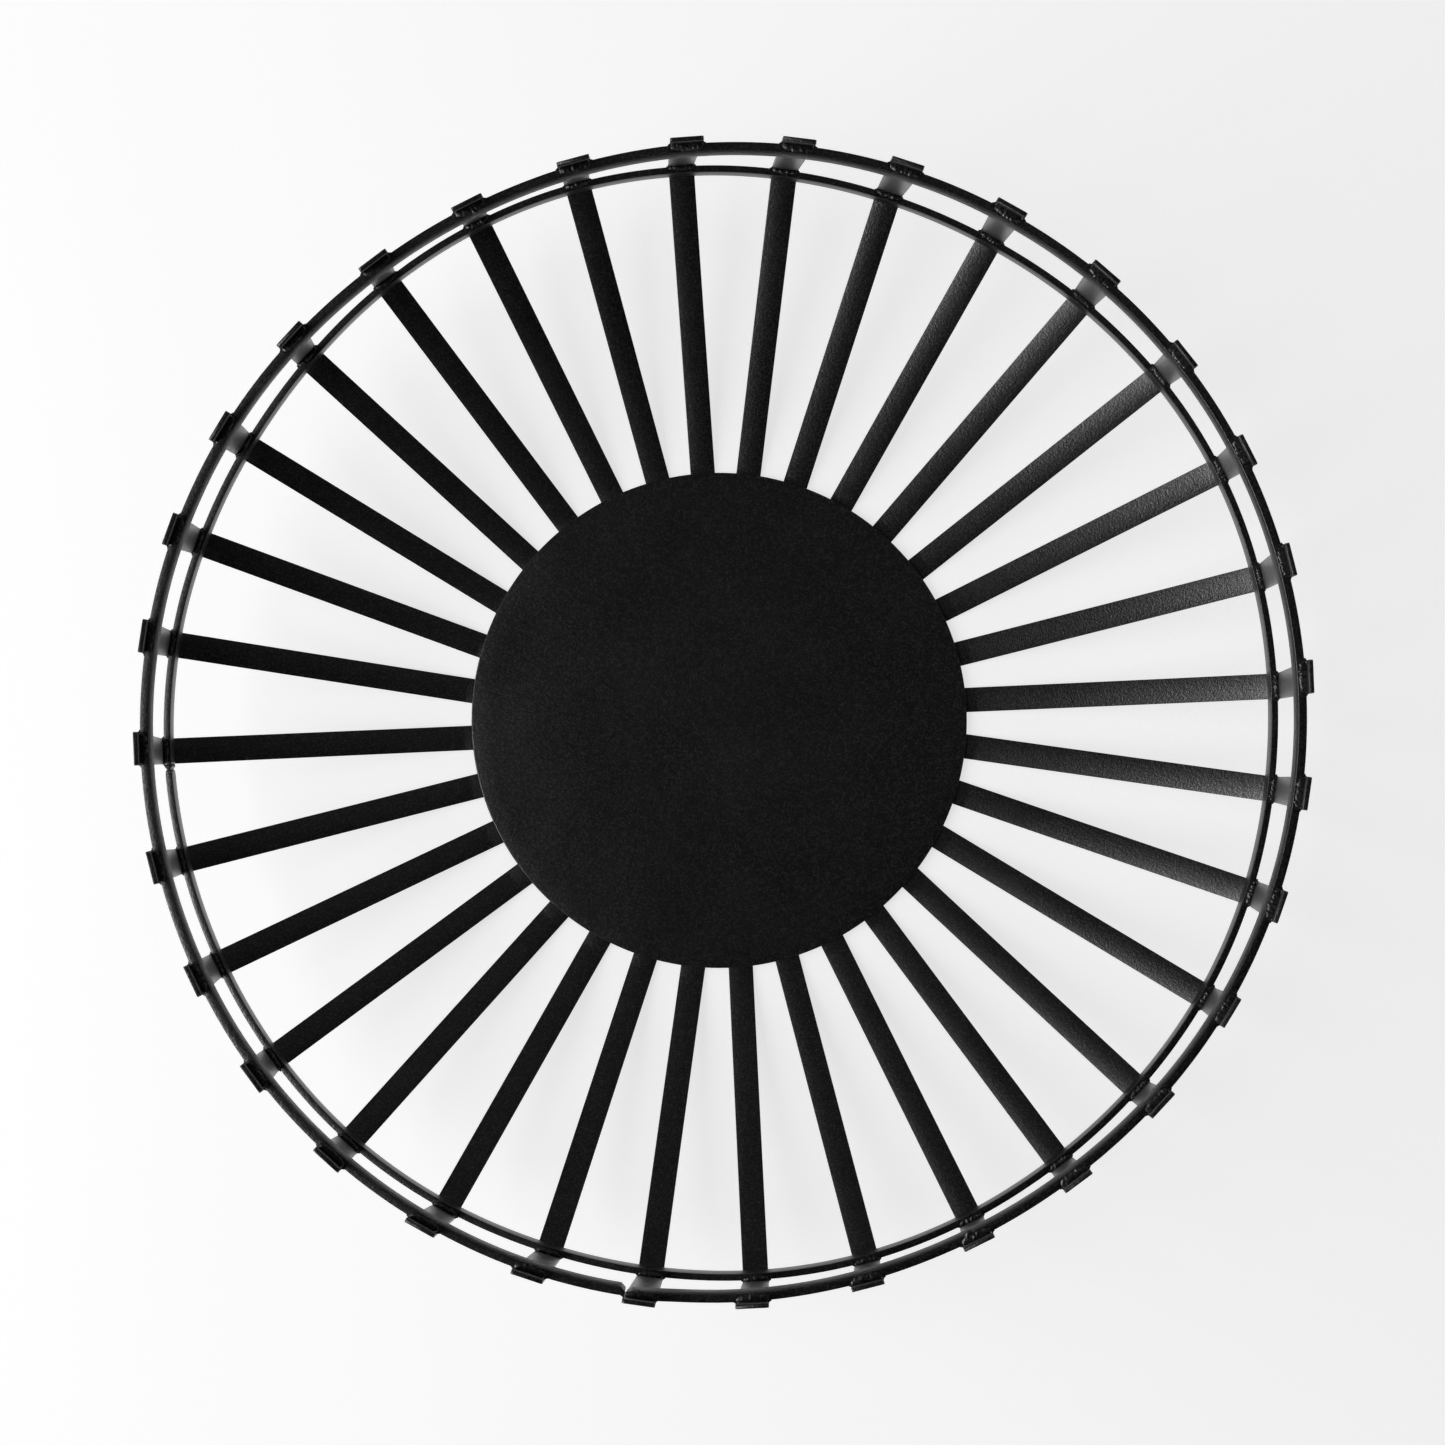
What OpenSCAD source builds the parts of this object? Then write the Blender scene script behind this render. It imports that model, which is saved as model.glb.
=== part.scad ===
// Open slat basket: 32 flat bars fan out from a round base plate, fold up at a lower hoop
// and lean in to a smaller hoop round the mouth. Welded throughout and powder coated black.
// Millimetres. Z is up, the feet stand on Z = 0 and the hoops' axis is the Z axis.

/* [Base plate] */
// Diameter of the round base plate
plate_d = 265; // [235:5:290]
// Thickness of the base plate
plate_t = 2; // [1.5:0.5:4]

/* [Slats] */
// Number of slats round the basket
slat_count = 32; // [24:1:32]
// Width of the flat bar that the slats are cut from
slat_w = 13.1; // [9:0.1:15]
// Thickness of that flat bar
slat_t = 1.8; // [1.2:0.1:2]
// Length of each slat's foot under the base plate
foot_len = 28; // [24:1:34]
// Slope of a slat's floor where it leaves the base plate, in degrees
floor_start = 9; // [6:1:12]
// Slope of a slat's floor where it meets the fold, in degrees
floor_end = 25; // [20:1:30]
// Inside radius of the fold between floor and wall
fold_r = 6; // [4:0.5:8]
// Corner radius at the slats' free ends
tip_r = 1.2; // [0.5:0.1:3]
// Angle of the first slat from the X axis, in degrees
first_slat = 3.9; // [0:0.1:11]

/* [Overall] */
// Radius to the centre of the fold
belly_r = 278.4; // [265:0.1:290]
// Height to the slats' free ends
basket_h = 297; // [240:1:340]

/* [Hoops] */
// Thickness of the hoops' flat bar, across the basket
hoop_t = 3.4; // [2:0.1:5]
// Height of the hoops' flat bar
hoop_h = 7; // [5:0.1:8]
// Height of the lower hoop's top above the centre of the fold
lower_hoop_rise = 11; // [10:0.5:20]
// Depth of the upper hoop's top below the slats' free ends
upper_hoop_drop = 13.5; // [6:0.5:20]
// Mean outside radius of the upper hoop
mouth_r = 228.9; // [215:0.1:245]
// Gap between the bar ends at the upper hoop's seam
seam_gap = 0.6; // [0.4:0.1:1]
// Size of the bevel on the bar ends at the upper hoop's seam
seam_bevel = 2; // [1:0.1:2.5]
// Depth of the grooves left in both faces of the lower hoop where its ends are welded up
seam_groove = 0.8; // [0.4:0.1:1.2]

/* [Hand work] */
// How strongly the hand-made unevenness shows: 0 is a perfectly regular basket
hand_made = 1; // [0:0.1:1]

/* [Welds] */
// Length of the beads on the hoops, a little more than a slat's width
bead_len = 14.6; // [13:0.1:16]
// Height of the beads on the hoops
bead_h = 1.8; // [1:0.1:3]
// Leg of the fillets that hold the feet to the base plate
foot_fillet = 1.2; // [0.8:0.1:1.4]

/* [Hidden] */
$fn = 180;
coat = [0.09, 0.09, 0.095];
bead = [0.16, 0.16, 0.17];
pitch = 360 / slat_count;
fit_gap = 0.1;
hoop_step = 2;

function two_digits(n) = str(n < 10 ? "0" : "", n);
function slat_name(i) = str("slat_", two_digits(i + 1));
SLATS = [for (i = [0 : slat_count - 1]) slat_name(i)];
WELDS = ["base_welds", "lower_hoop_welds", "upper_hoop_welds"];

// A slat's floor is one long arc. It starts with a small kink at the plate's rim and ends in
// the fold. These are the three arc centres, in the slat's own radius and height.
plate_r = plate_d / 2;
foot_end = plate_r + 3.5;
kink_r = 15;
floor_r = (belly_r - foot_end - kink_r * sin(floor_start) + fold_r * sin(floor_end))
    / (sin(floor_end) - sin(floor_start));
kink_c = [foot_end, slat_t + kink_r];
floor_c = kink_c + (floor_r - kink_r) * [-sin(floor_start), cos(floor_start)];
fold_c = floor_c + (floor_r - fold_r) * [sin(floor_end), -cos(floor_end)];
lower_hoop_z = fold_c.y + lower_hoop_rise;
upper_hoop_z = basket_h - upper_hoop_drop;

// Unevenness: a sum of slow waves round the basket, each [waves per turn, size, phase].
// The first two are degrees round the basket, and the rest are millimetres.
belly_waves = [[1, 0.7, 75], [2, 0.3, -60], [4, 0.3, 180], [7, 0.2, -170], [8, 0.2, -120]];
base_waves = [[1, 1.1, 95], [2, 0.3, 150], [4, 0.6, 180], [5, 0.2, 75], [6, 0.2, -60]];
lean_waves = [[1, 1.3, -5], [2, 1.4, 80], [4, 2, -20], [7, 1, 35]];
fold_waves = [[2, 0.9, 0], [3, 0.5, 130], [4, 0.7, 0], [5, 0.5, -70], [6, 0.4, -165], [7, 0.3, -75]];
mouth_waves = [[2, 2, 25], [4, 0.4, 170], [6, 0.2, -110]];
plate_shift = hand_made * [-1.1, 2.1, 0];
function total(list, i = 0) = i < len(list) ? list[i] + total(list, i + 1) : 0;
function waves(list, a) = hand_made * total([for (w = list) w[1] * sin(w[0] * a + w[2])]);
function slope(list, a) = hand_made * total([for (w = list) w[0] * w[1] * cos(w[0] * a + w[2])]);

// Where slat i stands, at its fold and at the plate's rim, and how far its wall leans sideways.
function even_angle(i) = first_slat + pitch * i;
function belly_angle(i) = even_angle(i) + waves(belly_waves, even_angle(i));
function base_angle(i) = even_angle(i) + 0.65 * hand_made + waves(base_waves, even_angle(i));
function side_lean(i) = -1.5 * hand_made + waves(lean_waves, even_angle(i));

// Turn of slat i about its fold that brings its foot to the base angle.
function swing(i) =
    let (d = base_angle(i) - belly_angle(i))
    atan(plate_r * sin(d) / (plate_r * cos(d) - belly_r));

// Room that slat i needs so that its flat face doesn't cut into a hoop of mean radius r.
function edge_room(i, list, r) =
    fit_gap + slat_w / 2 * sin(abs(swing(i) + atan(slope(list, belly_angle(i)) / r)));

// How far slat i stands out from its even place, so that it follows the lower hoop.
function slat_shift(i) = waves(fold_waves, belly_angle(i)) + edge_room(i, fold_waves, belly_r);

// Outside radius of the upper hoop where slat i stands, in the slat's own place.
function mouth_at(a) = mouth_r + waves(mouth_waves, a);
function mouth_by_slat(i) = mouth_at(belly_angle(i)) - slat_shift(i);

// Inward lean of a wall that is tangent to the fold and touches a hoop of radius r.
function lean_to(r) =
    let (run = belly_r - r, rise = upper_hoop_z - fold_c.y)
    atan2(run, rise) + asin(fold_r / sqrt(run * run + rise * rise));
function wall_lean(i) = lean_to(mouth_by_slat(i) + edge_room(i, mouth_waves, mouth_r));

// Radius of the wall's inner face at height z, for a wall that leans in by a.
function wall_face(a, z) = belly_r + fold_r / cos(a) - (z - fold_c.y) * tan(a);
lower_hoop_r = wall_face(lean_to(mouth_r), lower_hoop_z) - 0.2 * hand_made;

// Points on an arc in n steps, from angle a0 to angle a1.
function arc(c, r, a0, a1, n) =
    [for (k = [0 : n]) let (a = a0 + (a1 - a0) * k / n) c + r * [cos(a), sin(a)]];
function skip_first(list) = [for (k = [1 : len(list) - 1]) list[k]];
function reversed(list) = [for (k = [len(list) - 1 : -1 : 0]) list[k]];

// One face of a slat from foot to tip. t is 0 on the inner face and slat_t on the outer face.
function slat_face(lean, t) =
    let (outward = [cos(lean), sin(lean)], up = [-sin(lean), cos(lean)])
    let (run = (basket_h - fold_c.y - (fold_r + slat_t) * sin(lean)) / cos(lean))
    concat(
        [[foot_end - foot_len, slat_t - t]],
        arc(kink_c, kink_r + t, -90, floor_start - 90, 3),
        skip_first(arc(floor_c, floor_r + t, floor_start - 90, floor_end - 90, 16)),
        skip_first(arc(fold_c, fold_r + t, floor_end - 90, lean, 12)),
        [fold_c + (fold_r + t) * outward + run * up]
    );

// The strip bent to shape, drawn wide enough for any sideways lean.
module bent_strip(lean) {
    rotate([90, 0, 0])
        linear_extrude(4 * slat_w, center = true)
            polygon(concat(slat_face(lean, 0), reversed(slat_face(lean, slat_t))));
}

// A slat's outline seen from the axis: straight up to the fold, then leaning sideways.
module front_outline(side) {
    half = slat_w / 2;
    tip_l = [side - half + tip_r, basket_h - tip_r];
    tip_h = [side + half - tip_r, basket_h - tip_r];
    rotate([90, 0, 90])
        linear_extrude(belly_r + 20)
            polygon(concat(
                [[-half, fold_c.y], [-half, -1], [half, -1], [half, fold_c.y]],
                arc(tip_h, tip_r, 0, 90, 3),
                arc(tip_l, tip_r, 90, 180, 3)
            ));
}

// Puts children made along +X where slat i stands.
module at_slat(i) {
    rotate([0, 0, belly_angle(i)])
        translate([belly_r + slat_shift(i), 0, 0])
            rotate([0, 0, swing(i)])
                translate([-belly_r, 0, 0])
                    children();
}

module slat(i) {
    color(coat)
        at_slat(i)
            intersection() {
                bent_strip(wall_lean(i));
                front_outline(side_lean(i));
            }
}

module base_plate() {
    color(coat)
        translate(plate_shift + [0, 0, slat_t])
            cylinder(h = plate_t, r = plate_r);
}

// Outline of a nearly round ring of mean radius r, waving in and out.
function ring_outline(r, list) =
    [for (a = [0 : hoop_step : 360 - hoop_step]) (r + waves(list, a)) * [cos(a), sin(a)]];

// A hoop of flat bar with mean outside radius r, its top at height z.
module hoop(r, list, z) {
    translate([0, 0, z - hoop_h])
        linear_extrude(hoop_h)
            difference() {
                polygon(ring_outline(r, list));
                polygon(ring_outline(r - hoop_t, list));
            }
}

// A square notch standing on its edge, to cut a bevel or groove across a hoop's face.
module notch(size) {
    rotate([0, 0, -45])
        cube([sqrt(2) * size, sqrt(2) * size, basket_h]);
}

module lower_hoop() {
    seam = belly_angle(16) + 1.9;
    face_r = lower_hoop_r + waves(fold_waves, seam);
    color(coat)
        difference() {
            hoop(lower_hoop_r, fold_waves, lower_hoop_z);
            rotate([0, 0, seam]) {
                translate([face_r - seam_groove, 0, 0])
                    notch(2);
                translate([face_r - hoop_t + seam_groove, 0, 0])
                    rotate([0, 0, 180])
                        notch(2);
            }
        }
}

module upper_hoop() {
    seam = belly_angle(23) - 2.4;
    face_r = mouth_at(seam);
    color(coat)
        difference() {
            hoop(mouth_r, mouth_waves, upper_hoop_z);
            rotate([0, 0, seam]) {
                translate([face_r - hoop_t - 2, -seam_gap / 2, 0])
                    cube([hoop_t + 4, seam_gap, basket_h]);
                translate([face_r - hoop_t + seam_bevel, 0, 0])
                    rotate([0, 0, 180])
                        notch(2 * seam_bevel);
            }
        }
}

// A bead in the corner between a hoop's top and the wall of slat i. The hoop's outside
// radius there is in the slat's own place.
module hoop_bead(i, hoop_r, hoop_top, side) {
    foot = hoop_top + fit_gap / 2;
    wall_r = wall_face(wall_lean(i), foot) - fit_gap / 2;
    crown_r = wall_face(wall_lean(i), foot + bead_h) - fit_gap / 2;
    at_slat(i)
        translate([0, side + bead_len / 2, 0])
            rotate([90, 0, 0])
                linear_extrude(bead_len)
                    polygon([[wall_r, foot], [hoop_r - 0.6 * hoop_t, foot], [crown_r, foot + bead_h]]);
}

module lower_hoop_welds() {
    color(bead)
        for (i = [0 : slat_count - 1]) {
            hoop_bead(i, lower_hoop_r, lower_hoop_z, 0);
        }
}

module upper_hoop_welds() {
    reach = (upper_hoop_z - fold_c.y) / (basket_h - fold_c.y);
    color(bead)
        for (i = [0 : slat_count - 1]) {
            hoop_bead(i, mouth_by_slat(i), upper_hoop_z, side_lean(i) * reach);
        }
}

// Fillets along both sides of every foot, under the base plate and clear of its rim.
module base_welds() {
    inner_r = foot_end - foot_len + 2;
    outer_r = plate_r - 6;
    color(bead)
        for (i = [0 : slat_count - 1]) {
            at_slat(i)
                for (s = [0, 1]) {
                    mirror([0, s, 0])
                        translate([outer_r, slat_w / 2 + fit_gap / 2, slat_t - fit_gap / 2])
                            rotate([0, -90, 0])
                                linear_extrude(outer_r - inner_r)
                                    polygon([[0, 0], [-foot_fillet, 0], [0, foot_fillet]]);
                }
        }
}

base_plate();
lower_hoop();
upper_hoop();
for (i = [0 : slat_count - 1]) slat(i);
base_welds();
lower_hoop_welds();
upper_hoop_welds();
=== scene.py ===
"""Looks for the open slat basket: coated bars with rolled edges, hoops with their seams, lumpy
weld beads, a black powder-coat material, a white floor, a studio sky and two soft lights.
Metres throughout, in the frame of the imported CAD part."""

import math

import bmesh
import bpy
import numpy as np
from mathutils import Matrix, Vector, noise


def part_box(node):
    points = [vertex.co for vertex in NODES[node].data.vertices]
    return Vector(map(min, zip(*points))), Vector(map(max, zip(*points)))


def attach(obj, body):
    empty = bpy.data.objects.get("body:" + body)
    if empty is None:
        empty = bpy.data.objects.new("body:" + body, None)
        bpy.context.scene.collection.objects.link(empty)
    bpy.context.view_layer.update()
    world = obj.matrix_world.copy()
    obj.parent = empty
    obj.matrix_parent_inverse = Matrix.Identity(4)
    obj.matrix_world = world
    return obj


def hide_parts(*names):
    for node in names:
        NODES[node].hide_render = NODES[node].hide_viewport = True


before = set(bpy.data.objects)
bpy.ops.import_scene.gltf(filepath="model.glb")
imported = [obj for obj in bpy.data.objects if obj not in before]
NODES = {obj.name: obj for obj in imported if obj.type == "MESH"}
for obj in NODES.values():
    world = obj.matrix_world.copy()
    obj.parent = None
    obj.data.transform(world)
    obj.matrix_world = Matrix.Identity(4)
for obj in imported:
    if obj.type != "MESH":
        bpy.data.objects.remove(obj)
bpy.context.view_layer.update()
SLATS = sorted(n for n in NODES if n.startswith("slat_"))

MM = 0.001


# ---------------------------------------------------------------- materials

class Graph:
    """A short way to write a material's nodes."""

    def __init__(self, name):
        self.material = bpy.data.materials.new(name)
        self.material.use_nodes = True
        self.tree = self.material.node_tree
        self.shader = self.tree.nodes["Principled BSDF"]
        coords = self.tree.nodes.new("ShaderNodeTexCoord")
        self.place = coords.outputs["Object"]

    def add(self, kind, links=(), **values):
        node = self.tree.nodes.new(kind)
        for key, value in values.items():
            if key in node.inputs:
                node.inputs[key].default_value = value
            else:
                setattr(node, key, value)
        for socket, source in links:
            self.tree.links.new(source, node.inputs[socket])
        return node

    def grain(self, scale, detail=2.0, rough=0.5):
        """Noise with the given number of features per metre."""
        made = self.add("ShaderNodeTexNoise", [("Vector", self.place)])
        made.inputs["Scale"].default_value = scale
        made.inputs["Detail"].default_value = detail
        made.inputs["Roughness"].default_value = rough
        return made.outputs["Fac"]

    def ramp(self, source, stops):
        """A colour ramp. Each stop is a place and a grey or a colour."""
        made = self.add("ShaderNodeValToRGB", [("Fac", source)])
        band = made.color_ramp
        while len(band.elements) < len(stops):
            band.elements.new(0.5)
        for element, (place, shade) in zip(band.elements, stops):
            element.position = place
            element.color = (*shade, 1) if isinstance(shade, tuple) else (shade,) * 3 + (1,)
        return made.outputs["Color"]

    def span(self, source, low, high):
        """Stretches the middle of a noise over the given range."""
        made = self.add("ShaderNodeMapRange", [("Value", source)])
        made.inputs["From Min"].default_value = 0.3
        made.inputs["From Max"].default_value = 0.7
        made.inputs["To Min"].default_value = low
        made.inputs["To Max"].default_value = high
        return made.outputs["Result"]

    def join(self, socket, source):
        """Feeds one of the shader's own sockets."""
        self.tree.links.new(source, self.shader.inputs[socket])


# How many features per metre each layer of the coat has
CLOUDS = 22
PEEL = 620
GRIT = 1250
MOTTLE = 1200
DUST = 120
DUSTY_PLACES = 45

# Shades of the mottle and the dust against the coat's own, and how far its roughness drifts
MOTTLE_DARK = 0.2
MOTTLE_PALE = 13
DUST_PALE = 12
GLOSS_DRIFT = 0.03


def powder_coat(name, shade, rough, peel_mm=0.13, grit_mm=0.09, cast=(1.0, 1.0, 1.0)):
    """Satin black powder coat: orange peel about 1.5 mm across with a finer grit in it, a fine
    pale mottle, slow clouds of gloss, and a few pale dust specks."""
    g = Graph(name)
    clouds = g.grain(CLOUDS, 3)
    peel = g.grain(PEEL, 3, 0.6)
    grit = g.grain(GRIT, 1, 0.6)
    speck = g.add("ShaderNodeTexVoronoi", [("Vector", g.place)])
    speck.inputs["Scale"].default_value = DUST
    dots = g.ramp(speck.outputs["Distance"], [(0.0, 1.0), (0.035, 1.0), (0.06, 0.0)])
    rare = g.ramp(g.grain(DUSTY_PLACES, 0), [(0.0, 0.0), (0.60, 0.0), (0.66, 1.0)])
    few = g.add("ShaderNodeMath", [(0, dots), (1, rare)], operation="MULTIPLY")
    dark = tuple(shade * c * MOTTLE_DARK for c in cast)
    pale = tuple(shade * c * MOTTLE_PALE for c in cast)
    mottle = g.ramp(g.grain(MOTTLE, 1), [(0.47, dark), (0.67, pale)])
    tint = g.tree.nodes.new("ShaderNodeMix")
    tint.data_type = "RGBA"
    g.tree.links.new(few.outputs[0], tint.inputs[0])
    g.tree.links.new(mottle, tint.inputs[6])
    tint.inputs[7].default_value = (shade * DUST_PALE,) * 3 + (1,)
    g.join("Base Color", tint.outputs[2])
    g.join("Roughness", g.span(clouds, rough - GLOSS_DRIFT, rough + GLOSS_DRIFT))
    fine = g.add("ShaderNodeBump", [("Height", grit)], Strength=1.0, Distance=grit_mm * MM)
    wide = g.add(
        "ShaderNodeBump",
        [("Height", peel), ("Normal", fine.outputs["Normal"])],
        Strength=1.0,
        Distance=peel_mm * MM,
    )
    g.join("Normal", wide.outputs["Normal"])
    return g.material


COAT_SHADE = 0.0022
PLATE_COAT = powder_coat("plate_coat", COAT_SHADE, 0.31)
SLAT_COAT = powder_coat("slat_coat", COAT_SHADE, 0.33)
HOOP_COAT = powder_coat("hoop_coat", COAT_SHADE * 0.9, 0.30, peel_mm=0.12, cast=(1.15, 0.97, 0.93))
BEAD_COAT = powder_coat("bead_coat", COAT_SHADE * 0.8, 0.34, peel_mm=0.25)


# ---------------------------------------------------------------- mesh helpers

def piece(name, mesh, material, slot, *stands_for):
    """Links a finished mesh as one piece of the basket."""
    made = bpy.data.objects.new(name, mesh)
    bpy.context.scene.collection.objects.link(made)
    mesh.materials.clear()
    mesh.materials.append(material)
    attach(made, "root")
    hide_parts(*stands_for)
    return made


def smooth(mesh, angle_deg=35):
    """Smooth shading, with edges sharper than the angle kept crisp."""
    mesh.polygons.foreach_set("use_smooth", [True] * len(mesh.polygons))
    mesh.set_sharp_from_angle(angle=math.radians(angle_deg))
    mesh.update()


def cad_copy(node):
    """The CAD node as a clean bmesh, with split corners joined and flat faces whole."""
    bm = bmesh.new()
    bm.from_mesh(NODES[node].data)
    bmesh.ops.remove_doubles(bm, verts=bm.verts, dist=0.005 * MM)
    bmesh.ops.dissolve_limit(
        bm,
        angle_limit=math.radians(0.4),
        use_dissolve_boundaries=False,
        verts=bm.verts,
        edges=bm.edges,
    )
    return bm


def islands(node):
    """Corner points of each separate solid in a CAD node, one array each."""
    bm = cad_copy(node)
    found, seen = [], set()
    for start in bm.verts:
        if start in seen:
            continue
        group, todo = [], [start]
        seen.add(start)
        while todo:
            v = todo.pop()
            group.append(tuple(v.co))
            for edge in v.link_edges:
                other = edge.other_vert(v)
                if other not in seen:
                    seen.add(other)
                    todo.append(other)
        found.append(np.array(group))
    bm.free()
    return found


# ---------------------------------------------------------------- slats

EDGE_ROUND = 0.25 * MM
WAVE_SIZE = 0.22 * MM
WAVE_LENGTH = 70 * MM
SLICE_START = 60 * MM
SLICE_STEP = 12.5 * MM
SLICE_MARGIN = 4 * MM
STILL_BELOW = 4 * MM
WAVING_ABOVE = 34 * MM


def wavy(co, outward):
    """Hand-bent bar is never quite true: a slow drift in and out along its length."""
    drift = noise.noise(co / WAVE_LENGTH) + 0.4 * noise.noise(co * 2.7 / WAVE_LENGTH)
    return outward * drift * WAVE_SIZE


def slat_mesh(node):
    """The slat's CAD shape with rolled edges. Its wall is cut across every 12.5 mm so that it
    can wave, and its foot stays flat."""
    bm = cad_copy(node)
    sharp = [e for e in bm.edges if e.is_manifold and e.calc_face_angle() > math.radians(50)]
    bmesh.ops.bevel(
        bm,
        geom=sharp,
        offset=EDGE_ROUND,
        offset_type="OFFSET",
        segments=3,
        profile=0.5,
        affect="EDGES",
        clamp_overlap=True,
    )
    low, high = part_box(node)
    middle = (low + high) / 2
    outward = Vector((middle.x, middle.y, 0)).normalized()
    height = low.z + SLICE_START + SLICE_STEP
    while height < high.z - SLICE_MARGIN:
        geom = list(bm.verts) + list(bm.edges) + list(bm.faces)
        bmesh.ops.bisect_plane(bm, geom=geom, plane_co=(0, 0, height), plane_no=(0, 0, 1))
        height += SLICE_STEP
    for v in bm.verts:
        fade = min(1.0, max(0.0, (v.co.z - STILL_BELOW) / (WAVING_ABOVE - STILL_BELOW)))
        v.co += wavy(v.co, outward) * fade
    mesh = bpy.data.meshes.new(node + "_bar")
    bm.to_mesh(mesh)
    bm.free()
    smooth(mesh)
    return mesh


for slat in SLATS:
    piece(slat + "_bar", slat_mesh(slat), SLAT_COAT, "slat_coat", slat)


# ---------------------------------------------------------------- base plate

PLATE_RIM = 0.6 * MM
PLATE_RINGS = 12
PLATE_TURNS = 192
PLATE_DISH = 0.12 * MM


def plate_mesh(node):
    """A disc turned from its section, with a rounded rim and a face that isn't dead flat."""
    low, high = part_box(node)
    centre, radius = (low + high) / 2, (high.x - low.x) / 2
    rim_r = radius - PLATE_RIM
    flat = [radius * k / PLATE_RINGS for k in range(PLATE_RINGS)]
    section = [(r, high.z) for r in flat]
    for middle_z, start in ((high.z - PLATE_RIM, 90), (low.z + PLATE_RIM, 0)):
        for k in range(7):
            a = math.radians(start - 15 * k)
            section.append((rim_r + PLATE_RIM * math.cos(a), middle_z + PLATE_RIM * math.sin(a)))
    section += [(r, low.z) for r in reversed(flat)]
    bm = bmesh.new()
    rings = []
    for r, z in section:
        if r < 1e-6:
            rings.append([bm.verts.new((centre.x, centre.y, z))])
            continue
        ring = []
        for t in range(PLATE_TURNS):
            a = 2 * math.pi * t / PLATE_TURNS
            ring.append(bm.verts.new((centre.x + r * math.cos(a), centre.y + r * math.sin(a), z)))
        rings.append(ring)
    for lower, upper in zip(rings, rings[1:]):
        for t in range(PLATE_TURNS):
            n = (t + 1) % PLATE_TURNS
            if len(lower) == 1:
                bm.faces.new((lower[0], upper[t], upper[n]))
            elif len(upper) == 1:
                bm.faces.new((lower[t], upper[0], lower[n]))
            else:
                bm.faces.new((lower[t], upper[t], upper[n], lower[n]))
    bmesh.ops.recalc_face_normals(bm, faces=bm.faces)
    for v in bm.verts:
        if v.co.z > (low.z + high.z) / 2:
            v.co.z += PLATE_DISH * (noise.noise(v.co / 0.09) - 0.5)
    mesh = bpy.data.meshes.new(node + "_disc")
    bm.to_mesh(mesh)
    bm.free()
    smooth(mesh, 60)
    return mesh


piece("base_plate_disc", plate_mesh("base_plate"), PLATE_COAT, "black_powder_coat", "base_plate")


# ---------------------------------------------------------------- hoops

HOOP_STEP = math.radians(2)
HOOP_EDGE = 0.3 * MM
HOOP_LIFT = 0.15 * MM
HOOP_PUSH = 0.12 * MM
GROOVE_DEPTH = 0.8 * MM
GROOVE_REACH = 1.3 * MM
SEAM_GAP = 0.6 * MM
SEAM_BEVEL = 2.0 * MM
SEAM_STEP = 0.9 * MM


def hoop_shape(node):
    """Reads a hoop's CAD solid: its seam's angle, and its inner and outer radius by angle.
    Its corners stand at even steps round the hoop, apart from those that were cut at the seam."""
    co = np.array([v.co for v in NODES[node].data.vertices])
    angle, radius = np.arctan2(co[:, 1], co[:, 0]), np.hypot(co[:, 0], co[:, 1])
    step = np.round(angle / HOOP_STEP)
    even = np.abs(angle - step * HOOP_STEP) < 1e-4
    seam = math.atan2(np.sin(angle[~even]).mean(), np.cos(angle[~even]).mean())
    places, inner, outer = [], [], []
    for k in np.unique(step[even]):
        there = radius[even & (step == k)]
        if np.ptp(there) > 2 * MM:
            places.append(k * HOOP_STEP)
            inner.append(there.min())
            outer.append(there.max())
    turn = 2 * math.pi
    return (
        seam,
        lambda a: float(np.interp(a, places, inner, period=turn)),
        lambda a: float(np.interp(a, places, outer, period=turn)),
    )


def bar_section(r_in, r_out, z0, z1):
    """Corners of a flat bar's section with rounded edges, as radius and height."""
    points = []
    for r, z, sr, sz, start in (
        (r_out, z0, -1, 1, -90),
        (r_out, z1, -1, -1, 0),
        (r_in, z1, 1, -1, 90),
        (r_in, z0, 1, 1, 180),
    ):
        for q in range(4):
            t = math.radians(start + 30 * q)
            points.append(
                (r + HOOP_EDGE * (sr + math.cos(t)), z + HOOP_EDGE * (sz + math.sin(t)))
            )
    return points


def sweep(name, angles, section, closed):
    """A bar through a section at each angle. An open bar gets flat ends."""
    bm = bmesh.new()
    rings = []
    for a in angles:
        ring = [bm.verts.new((r * math.cos(a), r * math.sin(a), z)) for r, z in section(a)]
        rings.append(ring)
    pairs = list(zip(rings, rings[1:]))
    if closed:
        pairs.append((rings[-1], rings[0]))
    else:
        bm.faces.new(list(reversed(rings[0])))
        bm.faces.new(rings[-1])
    for one, two in pairs:
        for q in range(len(one)):
            n = (q + 1) % len(one)
            bm.faces.new((one[q], one[n], two[n], two[q]))
    bmesh.ops.recalc_face_normals(bm, faces=bm.faces)
    mesh = bpy.data.meshes.new(name)
    bm.to_mesh(mesh)
    bm.free()
    smooth(mesh, 40)
    return mesh


def hammer(a, radius):
    """A hoop bent by hand isn't quite even: a small drift in its height and its reach."""
    spot = Vector((math.cos(a), math.sin(a), 0)) * radius / 0.05
    return HOOP_LIFT * noise.noise(spot), HOOP_PUSH * noise.noise(spot + Vector((0, 0, 7)))


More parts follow.
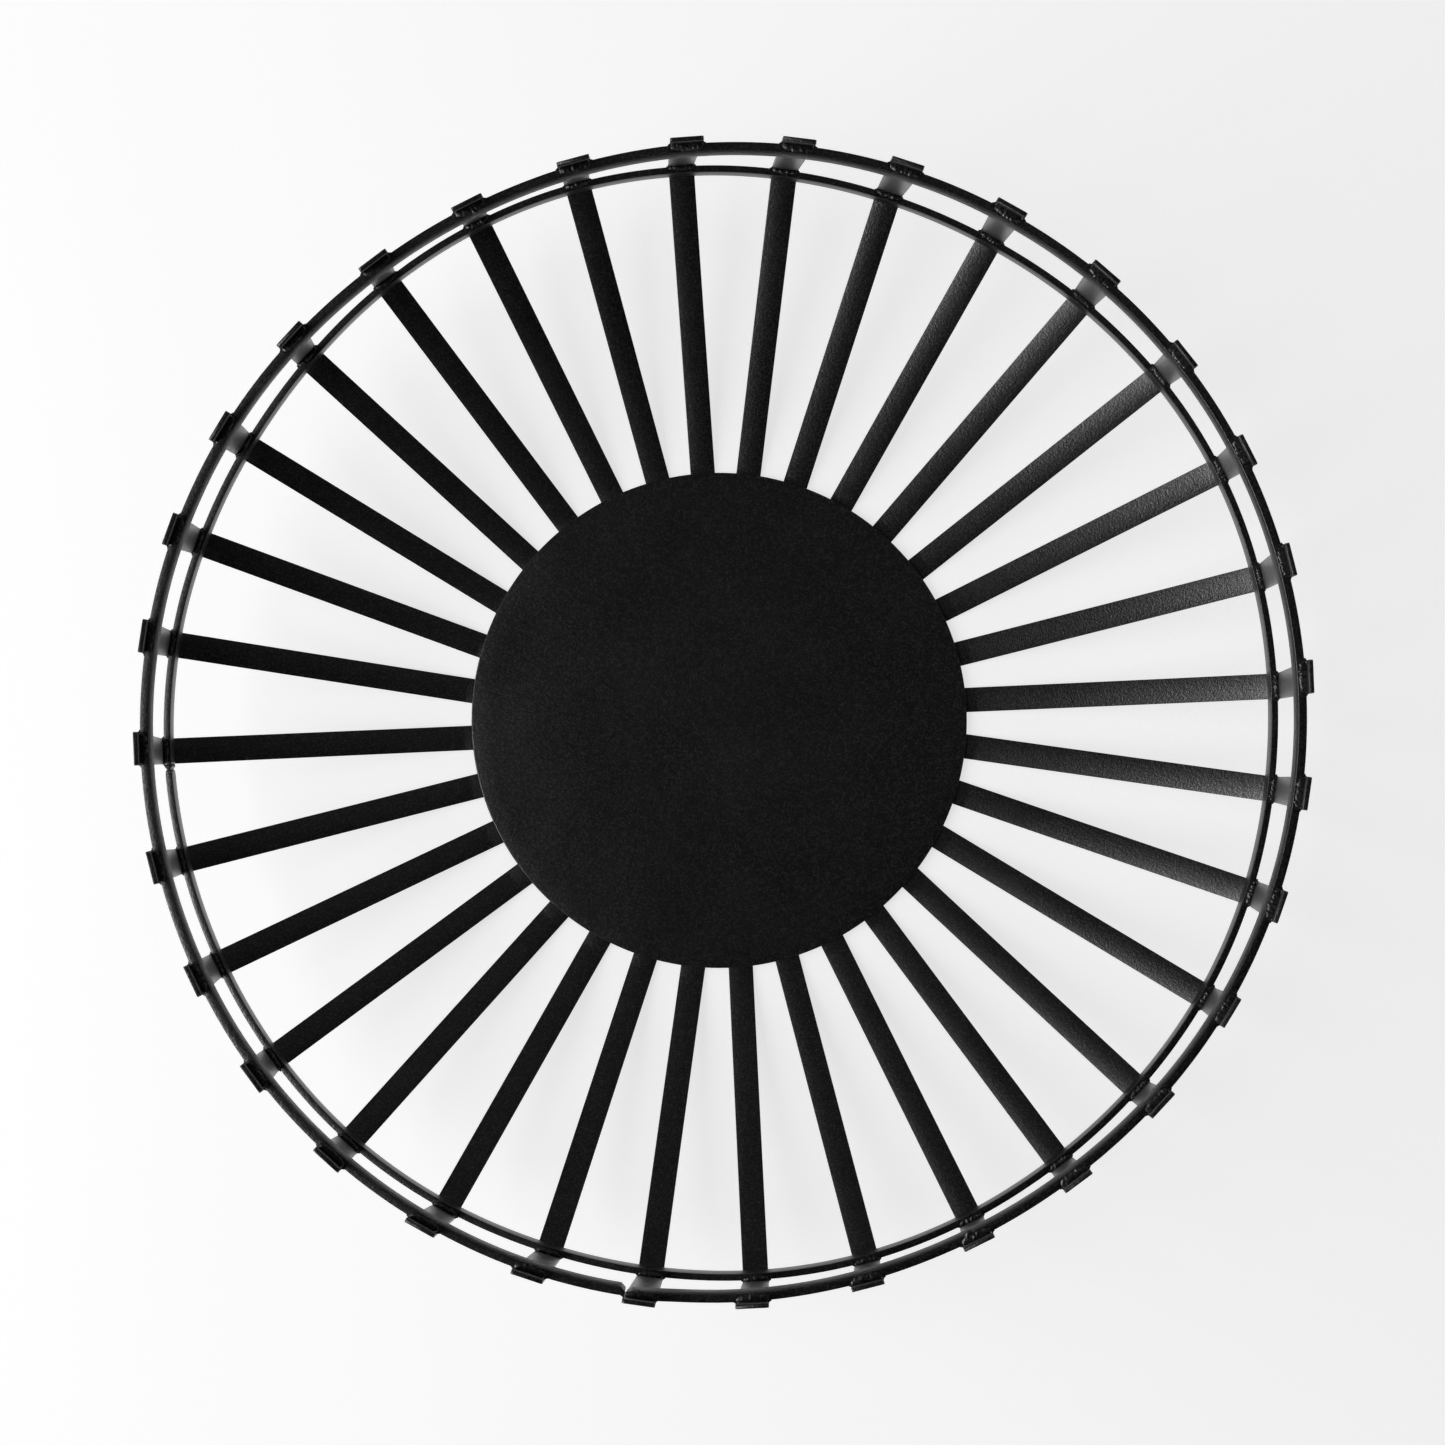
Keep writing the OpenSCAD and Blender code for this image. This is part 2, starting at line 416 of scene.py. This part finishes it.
def lower_hoop_mesh(node):
    """A closed ring. Where its two ends were welded up, grooves are left in both faces with a
    lumpy bridge of weld between them."""
    low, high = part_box(node)
    seam, r_in, r_out = hoop_shape(node)

    def section(a):
        along = ((a - seam + math.pi) % (2 * math.pi) - math.pi) * r_out(a)
        pinch = GROOVE_DEPTH * max(0.0, 1 - abs(along) / GROOVE_REACH)
        near = math.exp(-((along / 0.004) ** 2))
        lump = 0.35 * MM * near * noise.noise(Vector((along / 0.0011, 3.1, 0)))
        lift, push = hammer(a, r_out(a))
        inner = r_in(a) + pinch + push - lump
        outer = r_out(a) - pinch + push + lump
        return bar_section(inner, outer, low.z + lift, high.z + lift - 0.3 * pinch + lump)

    fine = [seam + 0.25 * MM * k / r_out(seam) for k in range(-24, 25)]
    coarse = [seam + 2 * math.pi * k / 360 for k in range(2, 359)]
    return sweep(node + "_bar", sorted(fine + coarse), section, closed=True)


def upper_hoop_mesh(node):
    """A bar bent round to a butt joint. Both ends are bevelled, and one stands a little proud."""
    low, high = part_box(node)
    seam, r_in, r_out = hoop_shape(node)
    half_gap = SEAM_GAP / 2 / r_out(seam)
    first, last = seam + half_gap, seam + 2 * math.pi - half_gap

    def section(a):
        from_end = min(a - first, last - a) * r_out(a)
        cut = 0.8 * max(0.0, SEAM_BEVEL - from_end)
        near = math.exp(-(((a - first) * r_out(a) / 0.014) ** 2))
        lift, push = hammer(a, r_out(a))
        inner = r_in(a) + cut + push + SEAM_STEP * near
        outer = r_out(a) + push + SEAM_STEP * near
        rise = lift + SEAM_STEP * near / 2
        return bar_section(inner, outer, low.z + rise, high.z + rise)

    fine = [SEAM_BEVEL * f / r_out(seam) for f in (0.25, 0.5, 0.75, 1.0)]
    angles = [first + (last - first) * k / 360 for k in range(361)]
    angles += [first + f for f in fine] + [last - f for f in fine]
    return sweep(node + "_bar", sorted(angles), section, closed=False)


piece("lower_hoop_bar", lower_hoop_mesh("lower_hoop"), HOOP_COAT, "hoop_coat", "lower_hoop")
piece("upper_hoop_bar", upper_hoop_mesh("upper_hoop"), HOOP_COAT, "hoop_coat", "upper_hoop")


# ---------------------------------------------------------------- weld beads

SLAT_WIDTH = 13.1 * MM
WEB_LEG = 1.0 * MM
WEB_ROOT = 0.4 * MM
WEB_HEIGHT = 4.5 * MM
PUDDLE_LENGTH = 1.6 * MM
FOOT_BEAD = 1.2 * MM

# Drops of spatter on the upper hoop: the slat, how far along its weld, and the drop's radius
WELD_SPOTS = (
    ("slat_03", -0.5 * MM, 1.4 * MM),
    ("slat_11", -1.8 * MM, 1.9 * MM),
    ("slat_27", -1.9 * MM, 2.5 * MM),
)


def skin(bm, rings):
    """Faces between rings of points, each ring a loop or a single point."""
    for one, two in zip(rings, rings[1:]):
        for q in range(max(len(one), len(two))):
            n = (q + 1) % max(len(one), len(two))
            if len(one) == 1:
                bm.faces.new((one[0], two[n], two[q]))
            elif len(two) == 1:
                bm.faces.new((one[q], one[n], two[0]))
            else:
                bm.faces.new((one[q], one[n], two[n], two[q]))


def bead(bm, centre, along, length, width, height, rough, seed):
    """One bead of weld, lying level: a row of overlapping puddles, drawn as a lumpy bar with
    pointed ends. The seed gives every bead its own lumps."""
    side = along.cross(Vector((0, 0, 1))).normalized()
    count, around = 30, 14
    rings = []
    for k in range(count + 1):
        s = k / count
        full = math.sqrt(max(0.0, 1 - abs(2 * s - 1) ** 3.5))
        ripple = 1 + 0.12 * abs(math.sin(math.pi * s * length / PUDDLE_LENGTH))
        drift = noise.noise(Vector((s * 5.0, seed * 1.7, 0.3)))
        spot = centre + along * (length * (s - 0.5)) + side * (0.3 * MM * drift)
        if full < 1e-3:
            rings.append([bm.verts.new(spot)])
            continue
        ring = []
        for q in range(around):
            t = 2 * math.pi * q / around
            place = Vector((s * 12.0, 1.6 * math.cos(t), seed * 2.3 + math.sin(t)))
            lump = 1 + rough * noise.noise(place)
            off = side * (width / 2 * math.cos(t)) + Vector((0, 0, height / 2 * math.sin(t)))
            ring.append(bm.verts.new(spot + off * full * ripple * (1 + 0.5 * rough * drift) * lump))
        rings.append(ring)
    skin(bm, rings)


def spatter(bm, centre, radius):
    """A round drop of weld with a crater in its crown."""
    rings = []
    for k in range(9):
        s = k / 8
        height = 0.55 * radius * (math.sqrt(1 - s * s) - 0.75 * math.exp(-((s / 0.4) ** 2)))
        if k == 0:
            rings.append([bm.verts.new(centre + Vector((0, 0, height)))])
            continue
        ring = []
        for q in range(24):
            t = 2 * math.pi * q / 24
            wide = radius * s * (1 + 0.06 * math.sin(2 * t + radius * 9000))
            off = Vector((wide * math.cos(t), wide * math.sin(t), height))
            ring.append(bm.verts.new(centre + off))
        rings.append(ring)
    rings.append([bm.verts.new(centre - Vector((0, 0, 0.4 * radius)))])
    skin(bm, rings)


def web(bm, corner, away, outward, low_z, high_z):
    """The small hollow fillet of weld and coat in the corner of a hoop's outer face and a
    slat's side. It runs away from the slat along the hoop, and outward along the slat."""
    outline = [(-WEB_ROOT, WEB_LEG), (-WEB_ROOT, -WEB_ROOT), (WEB_LEG, -WEB_ROOT)]
    for k in range(7):
        t = math.radians(270 - 15 * k)
        outline.append((WEB_LEG * (1 + math.cos(t)), WEB_LEG * (1 + math.sin(t))))
    loops = []
    for z in (low_z, high_z):
        loops.append(
            [bm.verts.new(Vector((0, 0, z)) + corner + away * u + outward * v) for u, v in outline]
        )
    bm.faces.new(list(reversed(loops[0])))
    bm.faces.new(loops[1])
    skin(bm, loops)


def joint_of(corners):
    """Where a CAD bead's corner line lies: its middle, its direction and the way out."""
    foot = corners[:, 2].min()
    low = corners[corners[:, 2] < foot + 0.1 * MM]
    reach = np.hypot(low[:, 0], low[:, 1])
    ends = low[np.argsort(reach)[-2:]]
    middle, along = Vector(ends.mean(0)), Vector(ends[1] - ends[0]).normalized()
    outward = along.cross(Vector((0, 0, 1)))
    if outward.dot(middle) < 0:
        outward = -outward
    along = Vector((0, 0, 1)).cross(outward)
    return middle, along, outward


def hoop_weld_mesh(node, width, height, rough):
    """Lumpy beads along the tops of a hoop's crossings, with a web on each side of the slat,
    and on the upper hoop a few drops of spatter."""
    bm = bmesh.new()
    for seed, corners in enumerate(islands(node)):
        middle, along, outward = joint_of(corners)
        length = SLAT_WIDTH * (0.97 + 0.10 * noise.noise(Vector((seed * 3.7, 0, 1))))
        spot = middle - outward * (0.28 * width) + Vector((0, 0, 0.18 * height))
        bead(bm, spot, along, length, width, height, rough, seed)
        for turn in (-1, 1):
            corner = Vector((middle.x, middle.y, 0)) + along * (turn * SLAT_WIDTH / 2)
            web(bm, corner, along * turn, outward, middle.z - WEB_HEIGHT, middle.z - 0.1 * MM)
        for slat, place, radius in WELD_SPOTS:
            low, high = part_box(slat)
            towards = Vector(((low.x + high.x) / 2, (low.y + high.y) / 2, 0)).normalized()
            if node.startswith("upper") and towards.dot(middle.xy.normalized().to_3d()) > 0.997:
                spatter(bm, middle + along * place - outward * 2.3 * MM, radius)
    bmesh.ops.recalc_face_normals(bm, faces=bm.faces)
    mesh = bpy.data.meshes.new(node + "_beads")
    bm.to_mesh(mesh)
    bm.free()
    smooth(mesh, 60)
    return mesh


def foot_weld_mesh(node):
    """A rippled bead in the place of every fillet under the base plate."""
    bm = bmesh.new()
    for seed, corners in enumerate(islands(node)):
        spread = corners - corners.mean(0)
        along = Vector(np.linalg.svd(spread, full_matrices=False)[2][0]).normalized()
        length = float(np.ptp(spread @ np.array(along)))
        bead(bm, Vector(corners.mean(0)), along, length, FOOT_BEAD, FOOT_BEAD, 0.1, seed)
    bmesh.ops.recalc_face_normals(bm, faces=bm.faces)
    mesh = bpy.data.meshes.new(node + "_beads")
    bm.to_mesh(mesh)
    bm.free()
    smooth(mesh, 80)
    return mesh


for weld, mesh in (
    ("base_welds", foot_weld_mesh("base_welds")),
    ("lower_hoop_welds", hoop_weld_mesh("lower_hoop_welds", 3.0 * MM, 1.5 * MM, 0.6)),
    ("upper_hoop_welds", hoop_weld_mesh("upper_hoop_welds", 3.6 * MM, 1.1 * MM, 0.45)),
):
    piece(weld + "_beads", mesh, BEAD_COAT, "weld_bead", weld)


# ---------------------------------------------------------------- floor, light, camera

FLOOR_SHADE = 0.5
FLOOR_SIZE = 40
FLOOR_DROP = 0.2 * MM

# Bands of light round the horizon: full below one height, gone above another, and strength
SKY_BANDS = (
    (0.35, 0.62, 0.42),
    (0.05, 0.14, 0.5),
)

# Patches of light overhead: turn and tilt, full and gone at these angles away, and strength
SKY_PATCHES = (
    (190, 6, 8, 34, 0.052),
    (50, 36, 6, 36, 0.14),
)
FLOOR_GLOW = 0.70
KEY_POWER = 28
KEY_SIZE = 1.7
KEY_TILT = 52
KEY_FROM = 184
SHEEN_POWER = 29
SHEEN_SIZE = 0.9
SHEEN_TILT = 48
SHEEN_FROM = 200
LIGHT_DISTANCE = 2.1
CAMERA_AT = Vector((-0.00345, -0.00316, 1.0622))
CAMERA_LENS = 49.33
CAMERA_SENSOR = 36
CAMERA_SHIFT = 0.00535


def floor():
    """A matt white floor with a little glow of its own, which keeps the shadows soft. It lies
    just under the feet, so that the two don't flicker through each other."""
    bpy.ops.mesh.primitive_plane_add(size=FLOOR_SIZE, location=(0, 0, -FLOOR_DROP))
    made = bpy.context.object
    made.name = "floor"
    g = Graph("white_floor")
    g.shader.inputs["Base Color"].default_value = (FLOOR_SHADE,) * 3 + (1,)
    g.shader.inputs["Roughness"].default_value = 0.9
    g.shader.inputs["Specular IOR Level"].default_value = 0.1
    g.shader.inputs["Emission Color"].default_value = (1, 1, 1, 1)
    g.shader.inputs["Emission Strength"].default_value = FLOOR_GLOW
    made.data.materials.append(g.material)


def direction(tilt_deg, turn_deg):
    """The direction tilt_deg down from overhead and turn_deg round from the X axis."""
    tilt, turn = math.radians(tilt_deg), math.radians(turn_deg)
    return Vector((math.sin(tilt) * math.cos(turn), math.sin(tilt) * math.sin(turn), math.cos(tilt)))


def sky():
    """A dark studio with bright bands round the horizon and soft patches of light overhead."""
    world = bpy.data.worlds.new("studio")
    bpy.context.scene.world = world
    world.use_nodes = True
    tree = world.node_tree
    coords = tree.nodes.new("ShaderNodeTexCoord")
    layers = []

    def layer(source, from_low, from_high, to_low, to_high):
        fade = tree.nodes.new("ShaderNodeMapRange")
        fade.interpolation_type = "SMOOTHSTEP"
        fade.inputs["From Min"].default_value = from_low
        fade.inputs["From Max"].default_value = from_high
        fade.inputs["To Min"].default_value = to_low
        fade.inputs["To Max"].default_value = to_high
        tree.links.new(source, fade.inputs["Value"])
        layers.append(fade.outputs["Result"])

    for turn_deg, tilt_deg, full_deg, gone_deg, strength in SKY_PATCHES:
        dot = tree.nodes.new("ShaderNodeVectorMath")
        dot.operation = "DOT_PRODUCT"
        tree.links.new(coords.outputs["Generated"], dot.inputs[0])
        dot.inputs[1].default_value = direction(tilt_deg, turn_deg)
        gone, full = math.cos(math.radians(gone_deg)), math.cos(math.radians(full_deg))
        layer(dot.outputs["Value"], gone, full, 0, strength)
    split = tree.nodes.new("ShaderNodeSeparateXYZ")
    tree.links.new(coords.outputs["Generated"], split.inputs[0])
    for full_z, gone_z, strength in SKY_BANDS:
        layer(split.outputs["Z"], full_z, gone_z, strength, 0)
    total = layers[0]
    for source in layers[1:]:
        both = tree.nodes.new("ShaderNodeMath")
        both.operation = "ADD"
        tree.links.new(total, both.inputs[0])
        tree.links.new(source, both.inputs[1])
        total = both.outputs[0]
    background = tree.nodes["Background"]
    tree.links.new(total, background.inputs["Strength"])
    background.inputs["Color"].default_value = (1, 1, 1, 1)


def soft_light(name, power, size, tilt_deg, from_deg, lights_floor=True):
    """A square soft light aimed at the basket. With lights_floor off it only shows as gloss."""
    light = bpy.data.lights.new(name, "AREA")
    light.energy = power
    light.size = size
    made = bpy.data.objects.new(name, light)
    bpy.context.scene.collection.objects.link(made)
    away = direction(tilt_deg, from_deg)
    made.location = away * LIGHT_DISTANCE
    made.rotation_euler = away.to_track_quat("Z", "Y").to_euler()
    made.visible_diffuse = lights_floor


def camera():
    """Straight above the basket, looking down."""
    data = bpy.data.cameras.new("camera")
    data.lens = CAMERA_LENS
    data.sensor_width = CAMERA_SENSOR
    data.shift_x = CAMERA_SHIFT
    data.shift_y = CAMERA_SHIFT
    made = bpy.data.objects.new("camera", data)
    made.location = CAMERA_AT
    bpy.context.scene.collection.objects.link(made)
    bpy.context.scene.camera = made


floor()
sky()
soft_light("key", KEY_POWER, KEY_SIZE, KEY_TILT, KEY_FROM)
soft_light("sheen", SHEEN_POWER, SHEEN_SIZE, SHEEN_TILT, SHEEN_FROM, lights_floor=False)
camera()
bpy.context.scene.view_settings.view_transform = "Standard"
